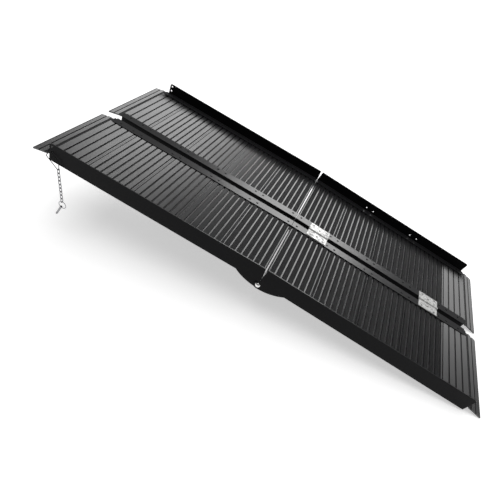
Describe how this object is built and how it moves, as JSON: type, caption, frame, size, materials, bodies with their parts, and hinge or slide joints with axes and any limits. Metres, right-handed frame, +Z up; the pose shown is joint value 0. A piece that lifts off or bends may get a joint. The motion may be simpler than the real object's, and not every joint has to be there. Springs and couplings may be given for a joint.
{
  "type": "portable wheelchair ramp",
  "caption": "Portable wheelchair ramp of two ribbed tracks that fold underneath at mid-length and close like a book on butt hinges, with curbs, drooping lips and a chained locking pin.",
  "frame": {"origin": "on the ground under the middle of the whole model, as the opened ramp stands on its slope", "axes": "+Z up; +X level, towards the foot of the ramp, so the upper end is at -X; +Y level, towards the right-hand side of someone walking up the ramp"},
  "size_m": [1.7991, 0.8065, 0.3715],
  "materials": {
    "deck_coating": "satin black powder coat on ribbed aluminium planks",
    "rail_coating": "satin black powder coat on aluminium rails",
    "rivet_metal": "black coated aluminium blind rivets with bright mandrel ends",
    "hinge_steel": "bright zinc-plated steel",
    "screw_steel": "zinc-plated steel",
    "bolt_steel": "polished stainless steel",
    "hanger_coating": "black coated steel wire",
    "chain_steel": "bright plated steel"
  },
  "bodies": {
    "left_lower": {"left_lower_outer_rail": "rail_coating", "left_lower_inner_rail": "rail_coating", "left_lower_plank_1": "deck_coating", "left_lower_plank_2": "deck_coating", "left_lower_plank_3": "deck_coating", "left_lower_plank_4": "deck_coating", "left_lower_end_plank": "deck_coating", "left_lower_rivets": "rivet_metal", "left_lower_lug_plates": "rail_coating", "left_pivot_bolts": "bolt_steel", "left_pivot_washers": "bolt_steel", "left_pivot_nuts": "bolt_steel", "left_hinge_screws": "screw_steel", "hinge_1_left_leaf": "hinge_steel", "hinge_2_left_leaf": "hinge_steel"},
    "left_upper": {"left_upper_outer_rail": "rail_coating", "left_upper_inner_rail": "rail_coating", "left_upper_plank_1": "deck_coating", "left_upper_plank_2": "deck_coating", "left_upper_plank_3": "deck_coating", "left_upper_plank_4": "deck_coating", "left_upper_end_plank": "deck_coating", "left_upper_rivets": "rivet_metal", "left_upper_lug_plates": "rail_coating", "chain_hanger": "hanger_coating"},
    "right_lower": {"right_lower_outer_rail": "rail_coating", "right_lower_inner_rail": "rail_coating", "right_lower_plank_1": "deck_coating", "right_lower_plank_2": "deck_coating", "right_lower_plank_3": "deck_coating", "right_lower_plank_4": "deck_coating", "right_lower_end_plank": "deck_coating", "right_lower_rivets": "rivet_metal", "right_lower_lug_plates": "rail_coating", "right_pivot_bolts": "bolt_steel", "right_pivot_washers": "bolt_steel", "right_pivot_nuts": "bolt_steel", "right_hinge_screws": "screw_steel", "hinge_1_right_leaf": "hinge_steel", "hinge_2_right_leaf": "hinge_steel", "hinge_1_pin": "hinge_steel", "hinge_2_pin": "hinge_steel"},
    "right_upper": {"right_upper_outer_rail": "rail_coating", "right_upper_inner_rail": "rail_coating", "right_upper_plank_1": "deck_coating", "right_upper_plank_2": "deck_coating", "right_upper_plank_3": "deck_coating", "right_upper_plank_4": "deck_coating", "right_upper_end_plank": "deck_coating", "right_upper_rivets": "rivet_metal", "right_upper_lug_plates": "rail_coating"},
    "chain": {"chain_links": "chain_steel", "pin_ring": "chain_steel"},
    "locking_pin": {"locking_pin": "chain_steel"}
  },
  "joints": [
    {"name": "centre_fold", "type": "hinge", "parent": "right_lower", "child": "left_lower", "pos_m": [0.42226, 0.00375, 0.121], "axis": [-0.9808, 0, 0.1951], "range_deg": [0, 167]},
    {"name": "left_fold", "type": "hinge", "parent": "left_lower", "child": "left_upper", "pos_m": [-0.0008, -0.38975, 0.15723], "axis": [0, -1, 0], "range_deg": [0, 179]},
    {"name": "right_fold", "type": "hinge", "parent": "right_lower", "child": "right_upper", "pos_m": [-0.0008, 0.39725, 0.15723], "axis": [0, -1, 0], "range_deg": [0, 179]},
    {"name": "chain_swing", "type": "hinge", "parent": "left_upper", "child": "chain", "pos_m": [-0.79156, -0.39725, 0.28506], "axis": [0, 1, 0], "range_deg": [-90, 90]},
    {"name": "pin_swing", "type": "hinge", "parent": "chain", "child": "locking_pin", "pos_m": [-0.79156, -0.39725, 0.12876], "axis": [0, 1, 0], "range_deg": [-120, 60]}
  ]
}
